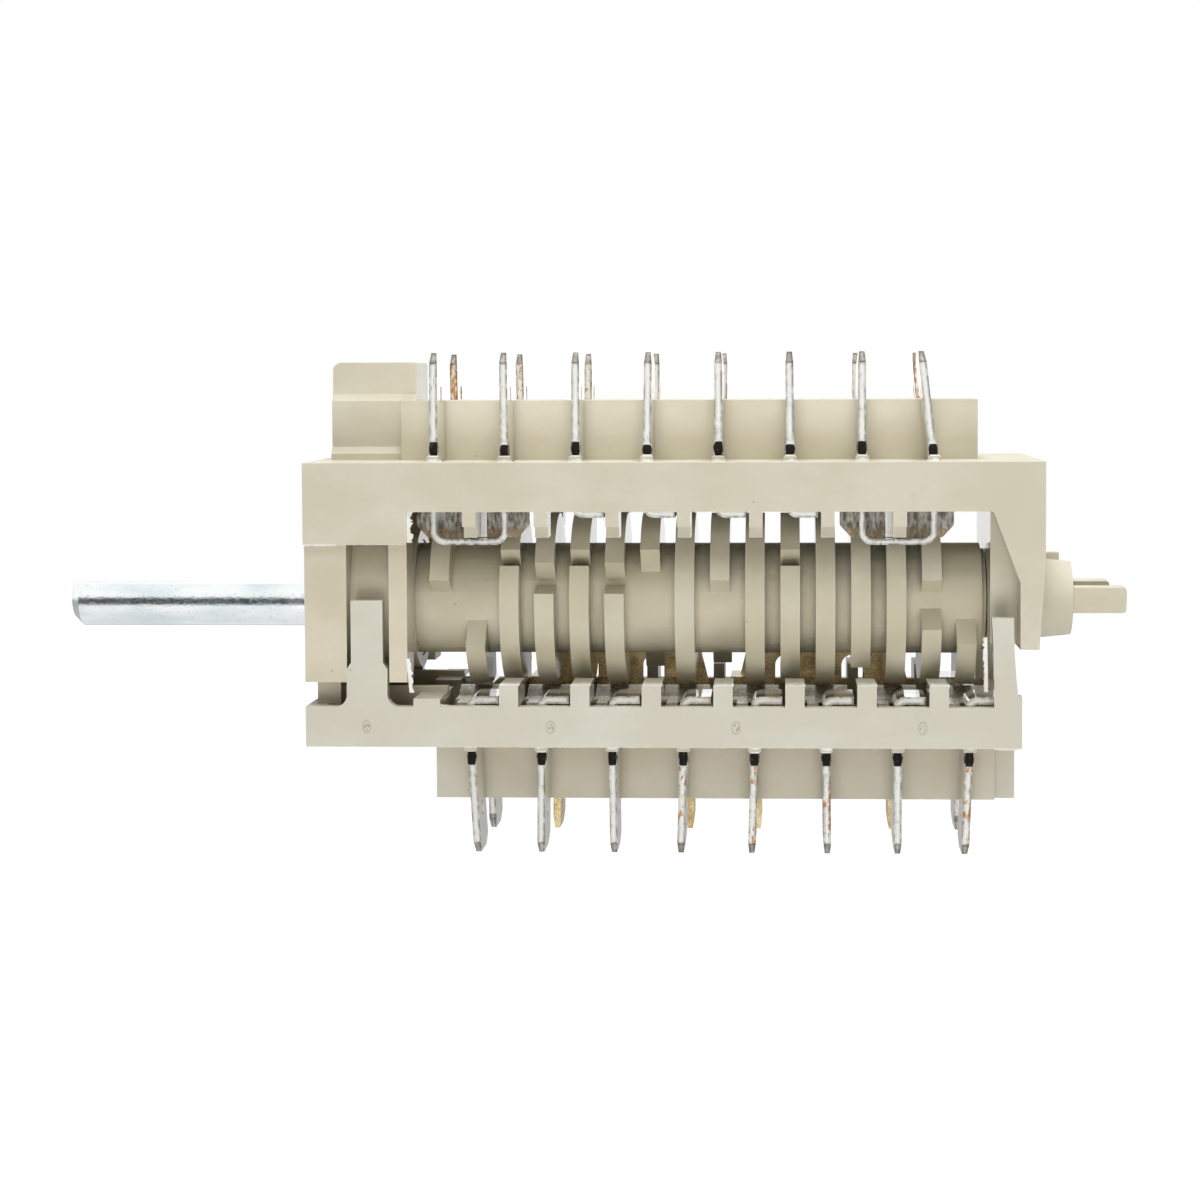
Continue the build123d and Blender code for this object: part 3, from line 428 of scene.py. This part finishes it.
# Sheet metals and the spring's steel
sheetMetal = {
    "blot": dict(size=1.4, detail=3), "blotDark": dict(low=0.35, high=0.7),
    "fine": dict(size=0.2, detail=3, stretch=(1, 3, 1)),
    "fineDark": dict(low=0.55, high=0.75, end=0.5),
    "metal": 0.35, "roughLess": 0.1, "roughMore": 0.12, "roughFrom": (0.3, 0.7), "depth": 0.015,
}
brass = dict(sheetMetal, colour=rgb(240, 220, 170), dark=rgb(190, 162, 108), rough=0.26)
bladeTin = dict(sheetMetal, colour=rgb(240, 238, 228), dark=rgb(196, 186, 160), rough=0.3)
springSteel = dict(sheetMetal, colour=rgb(200, 200, 200), dark=rgb(140, 140, 142), rough=0.25,
                   metal=1)


def makeSheetMetal(name, look):
    material, tree, shader = startMaterial(name)
    where = tree.nodes.new("ShaderNodeTexCoord").outputs["Object"]
    blot = noise(tree, where, **look["blot"])
    fine = noise(tree, where, **look["fine"])
    colour = blend(tree, spread(tree, blot, **look["blotDark"]), look["colour"], look["dark"])
    colour = blend(tree, spread(tree, fine, **look["fineDark"]), colour, look["dark"])
    join(tree, colour, shader.inputs["Base Color"])
    shader.inputs["Metallic"].default_value = look["metal"]
    join(tree, roughness(tree, fine, look), shader.inputs["Roughness"])
    bump(tree, shader, calc(tree, "ADD", blot, fine), look["depth"])
    return material


# The black varnish that locks the tabs
varnish = {
    "colour": rgb(24, 21, 17), "wornAndHighlit": rgb(84, 74, 56),
    "crackle": dict(size=0.3, detail=4, stretch=(1, 1, 1.5)),
    "crackleWorn": dict(low=0.58, high=0.72, end=0.8),
    "rough": 0.45, "roughLess": 0.15, "roughMore": 0.2, "roughFrom": (0.3, 0.7),
    "shine": 0.15, "depth": 0.05,
}


def makeVarnish(name, look):
    material, tree, shader = startMaterial(name)
    where = tree.nodes.new("ShaderNodeTexCoord").outputs["Object"]
    crackle = noise(tree, where, **look["crackle"])
    colour = blend(tree, spread(tree, crackle, **look["crackleWorn"]), look["colour"], look["wornAndHighlit"])
    join(tree, colour, shader.inputs["Base Color"])
    join(tree, roughness(tree, crackle, look), shader.inputs["Roughness"])
    shader.inputs["Specular IOR Level"].default_value = look["shine"]
    bump(tree, shader, crackle, look["depth"])
    return material


materials = {
    "upper": makePlastic("upper moulding plastic", housingPlastic),
    "lower": makePlastic("lower moulding plastic", lowerPlastic, ejectorMarks),
    "detent": makePlastic("detent block plastic", detentPlastic),
    "cam": makePlastic("cam drum plastic", camPlastic),
    "frosted": makePlastic("frosted flash", frostedPlastic),
    "varnish": makeVarnish("black varnish", varnish),
    "zinc": makeZinc("zinc plated shaft", shaftZinc),
    "tab": makeTabMetal("tinned tab", tabTin, lightWear),
    "tabWorn": makeTabMetal("tinned tab, worn", tabTin, heavyWear),
    "tabCopper": makeTabMetal("tinned tab, coppery", tabTin, copperWear),
    "brass": makeSheetMetal("bridge brass", brass),
    "blade": makeSheetMetal("blade tin", bladeTin),
    "spring": makeSheetMetal("spring steel", springSteel),
}
print("materials made,", len(materials))


# Finishes of the frame's own nodes; the others are contact blades or plain tabs
finishes = {
    "upper_housing": "upper", "lower_housing": "lower", "detent_housing": "detent",
    "camshaft": "cam", "selector_shaft": "zinc", "detent_ball": "spring", "detent_spring": "spring",
    "bottom_back_bridge_left": "brass", "bottom_back_bridge_right": "brass",
    "top_back_terminal_2": "tabWorn", "top_back_terminal_3": "tabWorn",
    "bottom_front_terminal_4": "tabWorn", "bottom_front_terminal_5": "tabWorn",
    "bottom_front_terminal_6": "tabWorn", "bottom_front_terminal_8": "tabWorn",
    "top_back_terminal_1": "tabCopper", "top_back_terminal_8": "tabCopper",
}

for node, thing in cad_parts.items():
    finish = "blade" if "blade" in node else finishes.get(node, "tab")
    thing.data.materials.clear()
    thing.data.materials.append(materials[finish])


# Small edge radii of the mouldings, in mm
softEdges = {"upper_housing": 0.14, "lower_housing": 0.14, "detent_housing": 0.16, "camshaft": 0.1}
sharpAngle = math.radians(35)    # a sharper turn between two faces is an edge
flatAngle = math.radians(0.5)    # faces that turn less than this become one
weldReach = 1e-7                 # in metres


def softenNode(node, width):
    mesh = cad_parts[node].data.copy()
    mesh.name = node + "_moulded"
    shape = bmesh.new()
    shape.from_mesh(mesh)
    bmesh.ops.remove_doubles(shape, verts=shape.verts, dist=weldReach)
    bmesh.ops.dissolve_limit(shape, angle_limit=flatAngle, verts=shape.verts,
                             edges=shape.edges, use_dissolve_boundaries=False)
    shape.to_mesh(mesh)
    shape.free()
    piece = bpy.data.objects.new(node + "_moulded", mesh)
    bpy.context.scene.collection.objects.link(piece)
    for face in mesh.polygons:
        face.use_smooth = True
    mesh.set_sharp_from_angle(angle=sharpAngle)
    edges = piece.modifiers.new("edges", "BEVEL")
    edges.width = width * mm
    edges.segments = 2
    edges.limit_method = "ANGLE"
    edges.angle_limit = sharpAngle
    normals = piece.modifiers.new("normals", "WEIGHTED_NORMAL")
    normals.weight = 100            # large faces alone decide, so that they look flat
    normals.keep_sharp = True
    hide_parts(node)
    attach(piece, "selector" if node == "camshaft" else "frame")


for node, width in softEdges.items():
    softenNode(node, width)
print("mouldings softened")


def makeSpring():
    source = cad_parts["detent_spring"]
    mesh = source.data.copy()
    mesh.name = "detent_spring_wound"
    for face in mesh.polygons:
        face.use_smooth = True
    mesh.set_sharp_from_angle(angle=sharpAngle)
    piece = bpy.data.objects.new("detent_spring_wound", mesh)
    bpy.context.scene.collection.objects.link(piece)
    piece.matrix_world = source.matrix_world
    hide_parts("detent_spring")
    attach(piece, "frame")
    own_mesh(piece)


makeSpring()


def addPiece(name, mesh, finish):
    mesh.materials.append(materials[finish])
    piece = bpy.data.objects.new(name, mesh)
    bpy.context.scene.collection.objects.link(piece)
    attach(piece, "frame")


def closeRings(shape, rings):
    sides = len(rings[0])
    for low, high in zip(rings, rings[1:]):
        for k in range(sides):
            n = (k + 1) % sides
            shape.faces.new((low[k], low[n], high[n], high[k]))
    shape.faces.new(rings[0][::-1])
    shape.faces.new(rings[-1])


# A closed body of rings round an upright axis; each level gives height and half widths
def addRings(shape, middle, levels, sides, wobble, dice):
    rings = []
    for height, halfX, halfY in levels:
        ring = []
        for k in range(sides):
            angle = 2 * math.pi * k / sides
            square = max(abs(math.cos(angle)), abs(math.sin(angle))) ** 0.6   # 0 is round, 1 square
            reach = (1 + dice.uniform(-wobble, wobble)) / square
            ring.append(shape.verts.new((
                (middle[0] + halfX * math.cos(angle) * reach) * mm,
                (middle[1] + halfY * math.sin(angle) * reach) * mm,
                (middle[2] + height) * mm)))
        rings.append(ring)
    closeRings(shape, rings)


def finishMesh(shape, name):
    bmesh.ops.recalc_face_normals(shape, faces=shape.faces)
    mesh = bpy.data.meshes.new(name)
    shape.to_mesh(mesh)
    shape.free()
    for face in mesh.polygons:
        face.use_smooth = True
    mesh.set_sharp_from_angle(angle=math.radians(50))
    return mesh


# Black varnish dots on the lugs that lock the tabs
lockDots = {
    "lugs": {"heights": (14.6, 17.0), "outer": 12.08, "apart": 3.6, "narrowest": 0.4},
    "levels": [(-0.76, 0.34, 0.18), (-0.7, 0.45, 0.27), (-0.3, 0.5, 0.33), (0.2, 0.52, 0.34),
               (0.64, 0.49, 0.28), (0.76, 0.38, 0.16)],
    "depth": 11.92, "sides": 14, "wobble": 0.07, "seed": 7,
}


# Middles of the locking lugs, found from the tabs themselves
def findLugs(heights, outer, apart, narrowest):
    found = {}
    for node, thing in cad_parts.items():
        if "terminal" not in node and "bridge" not in node:
            continue
        for vertex in thing.data.vertices:
            x, y, z = (thing.matrix_world @ vertex.co) / mm
            if heights[0] < abs(z) < heights[1] and abs(y) > outer:
                key = (node, z > 0, y > 0, round(x / apart))
                found.setdefault(key, []).append((x, y, z))
    places = []
    for points in found.values():
        spans = [(min(p[i] for p in points), max(p[i] for p in points)) for i in range(3)]
        if spans[0][1] - spans[0][0] > narrowest:
            places.append(tuple((low + high) / 2 for low, high in spans))
    return sorted(places)


def makeLockDots(look):
    dice = random.Random(look["seed"])
    shape = bmesh.new()
    places = findLugs(**look["lugs"])
    for x, y, z in places:
        addRings(shape, (x, math.copysign(look["depth"], y), z), look["levels"], look["sides"],
                 look["wobble"], dice)
    addPiece("lock_dots", finishMesh(shape, "lock_dots"), "varnish")
    print("lock dots,", len(places))


# Flash that stands up round the foot of each tab
footFlash = {
    "rows": [{"first": 13.2, "height": 14.75, "up": 1},
             {"first": 16.825, "height": -14.05, "up": -1}],
    "count": 8, "pitch": 7.25, "depth": 12.3, "sides": 16, "wobble": 0.12, "seed": 11,
    "scale": (0.85, 1.1),
    "levels": [(0.0, 0.86, 0.72), (0.16, 0.76, 0.6), (0.38, 0.62, 0.5), (0.62, 0.55, 0.44),
               (0.74, 0.47, 0.36)],
}


def makeFootFlash(look):
    dice = random.Random(look["seed"])
    shape = bmesh.new()
    for row in look["rows"]:
        for k in range(look["count"]):
            for face in (-1, 1):
                middle = (row["first"] + k * look["pitch"], face * look["depth"], row["height"])
                scale = dice.uniform(*look["scale"])
                levels = [(row["up"] * h * scale, x, y) for h, x, y in look["levels"]]
                addRings(shape, middle, levels, look["sides"], look["wobble"], dice)
    addPiece("foot_flash", finishMesh(shape, "foot_flash"), "frosted")


# Thin ragged strips of flash along edges of the mouldings
flashStrips = {
    "thick": 0.12, "step": 0.16, "ragged": (0.35, 1.0), "sway": 0.3, "root": 0.3, "tip": 0.4,
    "seed": 23,
    "strips": [
        # start, end and how far the ragged edge stands out, in mm
        ((0.15, -13.95, 6.52), (3.5, -13.95, 6.52), (0, 0, -0.2)),
        ((4.1, -13.95, 6.52), (10.3, -13.95, 6.52), (0, 0, -0.07)),
        ((10.9, -13.6, -8.6), (10.55, -13.2, -5.2), (0.45, 0, 0)),
        ((10.7, -13.6, 6.7), (10.7, -13.6, 9.9), (0.6, 0, 0)),
        ((69.2, -13.4, -8.4), (69.1, -13.4, -2.9), (-0.4, 0, 0)),
        ((11.2, -13.6, -9.98), (14.8, -13.6, -9.98), (0, 0, 0.22)),
        ((0.3, -13.95, -14.08), (72.4, -13.95, -14.08), (0, 0, -0.05)),
        ((0.2, -13.95, 14.78), (74.8, -13.95, 14.78), (0, 0, 0.05)),
        ((69.9, -13.95, -14.08), (72.4, -13.95, -14.08), (0, 0, -0.22)),
    ],
    # the tops of the lower comb's teeth
    "teeth": {"first": 20.05, "pitch": 7.25, "count": 7, "width": 1.9, "top": -7.82,
              "depths": (-13.9, -13.2, -12.4), "rise": 0.2},
}


def addStrip(shape, start, end, reach, look, dice):
    start, end, reach = Vector(start), Vector(end), Vector(reach)
    along = (end - start).normalized()
    across = along.cross(reach).normalized() * look["thick"] / 2
    count = max(3, round((end - start).length / look["step"]))
    rows = []
    for k in range(count + 1):
        base = start + (end - start) * k / count
        edge = base + reach * dice.uniform(*look["ragged"])
        edge += along * dice.uniform(-look["sway"], look["sway"]) * look["step"]
        root, tip = reach * look["root"], across * look["tip"]
        rows.append([shape.verts.new(point * mm) for point in
                     (base - across - root, base + across - root, edge + tip, edge - tip)])
    closeRings(shape, rows)


def makeFlash(look):
    dice = random.Random(look["seed"])
    shape = bmesh.new()
    for start, end, reach in look["strips"]:
        addStrip(shape, start, end, reach, look, dice)
    teeth = look["teeth"]
    for k in range(teeth["count"]):
        x = teeth["first"] + k * teeth["pitch"]
        for depth in teeth["depths"]:
            addStrip(shape, (x, depth, teeth["top"]), (x + teeth["width"], depth, teeth["top"]),
                     (0, 0, teeth["rise"]), look, dice)
    addPiece("edge_flash", finishMesh(shape, "edge_flash"), "frosted")


makeLockDots(lockDots)
makeFootFlash(footFlash)
makeFlash(flashStrips)
print("small pieces made")


# The stage: a pale floor well below, a dark card that metal mirrors, and soft lamps that metal
# doesn't mirror
studio = {
    "floor": {"size": (6000, 6000), "height": -260.0, "colour": (0.8, 0.8, 0.8),
              "rough": 0.9, "shine": 0.1, "mirrored": 0.36},
    "card": {"place": (-53, -153, -33), "size": (70, 79), "colour": (0.1, 0.12, 0.13)},
    "world": {"light": 0.075, "mirrored": 1.12},
    "aim": (38, 0, 0),
    "lamps": [
        # name, place in mm, width and height in mm, watts
        ("front", (45, -600, -60), (180, 200), 0.46),
        ("low", (45, -480, -190), (220, 180), 1.05),
        ("overhead", (45, -300, 460), (220, 400), 1.4),
        ("top", (45, 0, 480), (200, 160), 1.6),
        ("side", (520, -260, 120), (300, 400), 0.12),
        ("back", (40, 480, -60), (500, 300), 0.8),
    ],
}


def addPlane(name, size, place, facing, material):
    bpy.ops.mesh.primitive_plane_add(size=1)
    thing = bpy.context.object
    thing.name = name
    thing.scale = (size[0] * mm, size[1] * mm, 1)
    thing.location = Vector(place) * mm
    thing.rotation_euler = Vector(facing).to_track_quat("Z", "Y").to_euler()
    thing.data.materials.append(material)
    return thing


# The floor shows white to the camera, and keeps the object's shadow
def makeFloor(look):
    material, tree, shader = startMaterial("pale floor")
    path = tree.nodes.new("ShaderNodeLightPath")
    shader.inputs["Base Color"].default_value = (*look["colour"], 1)
    shader.inputs["Roughness"].default_value = look["rough"]
    shader.inputs["Specular IOR Level"].default_value = look["shine"]
    shader.inputs["Emission Color"].default_value = (1, 1, 1, 1)
    mirrored = times(tree, path.outputs["Is Glossy Ray"], look["mirrored"])
    join(tree, calc(tree, "MAXIMUM", path.outputs["Is Camera Ray"], mirrored),
         shader.inputs["Emission Strength"])
    addPlane("floor", look["size"], (0, 0, look["height"]), (0, 0, 1), material)


def makeCard(look):
    material, tree, shader = startMaterial("dark card")
    shader.inputs["Base Color"].default_value = (*look["colour"], 1)
    card = addPlane("card", look["size"], look["place"], (0, 1, 0), material)
    card.visible_camera = False
    card.visible_diffuse = False
    card.visible_shadow = False


# The world lights the object faintly, but shows white to the camera and in metal
def makeWorld(look):
    world = bpy.data.worlds.new("studio")
    world.use_nodes = True
    bpy.context.scene.world = world
    tree = world.node_tree
    path = tree.nodes.new("ShaderNodeLightPath")
    mirrored = spread(tree, path.outputs["Is Glossy Ray"], 0, 1, look["light"], look["mirrored"])
    back = tree.nodes["Background"]
    back.inputs["Color"].default_value = (1, 1, 1, 1)
    join(tree, calc(tree, "MAXIMUM", mirrored, path.outputs["Is Camera Ray"]),
         back.inputs["Strength"])


def makeLamps(lamps, aim):
    for name, place, size, watts in lamps:
        data = bpy.data.lights.new(name, "AREA")
        data.shape = "RECTANGLE"
        data.size, data.size_y = size[0] * mm, size[1] * mm
        data.energy = watts
        lamp = bpy.data.objects.new(name, data)
        bpy.context.scene.collection.objects.link(lamp)
        lamp.location = Vector(place) * mm
        towards = Vector(aim) * mm - lamp.location
        lamp.rotation_euler = towards.to_track_quat("-Z", "Y").to_euler()
        lamp.visible_camera = False
        lamp.visible_glossy = False


makeFloor(studio["floor"])
makeCard(studio["card"])
makeWorld(studio["world"])
makeLamps(studio["lamps"], studio["aim"])
print("stage set")
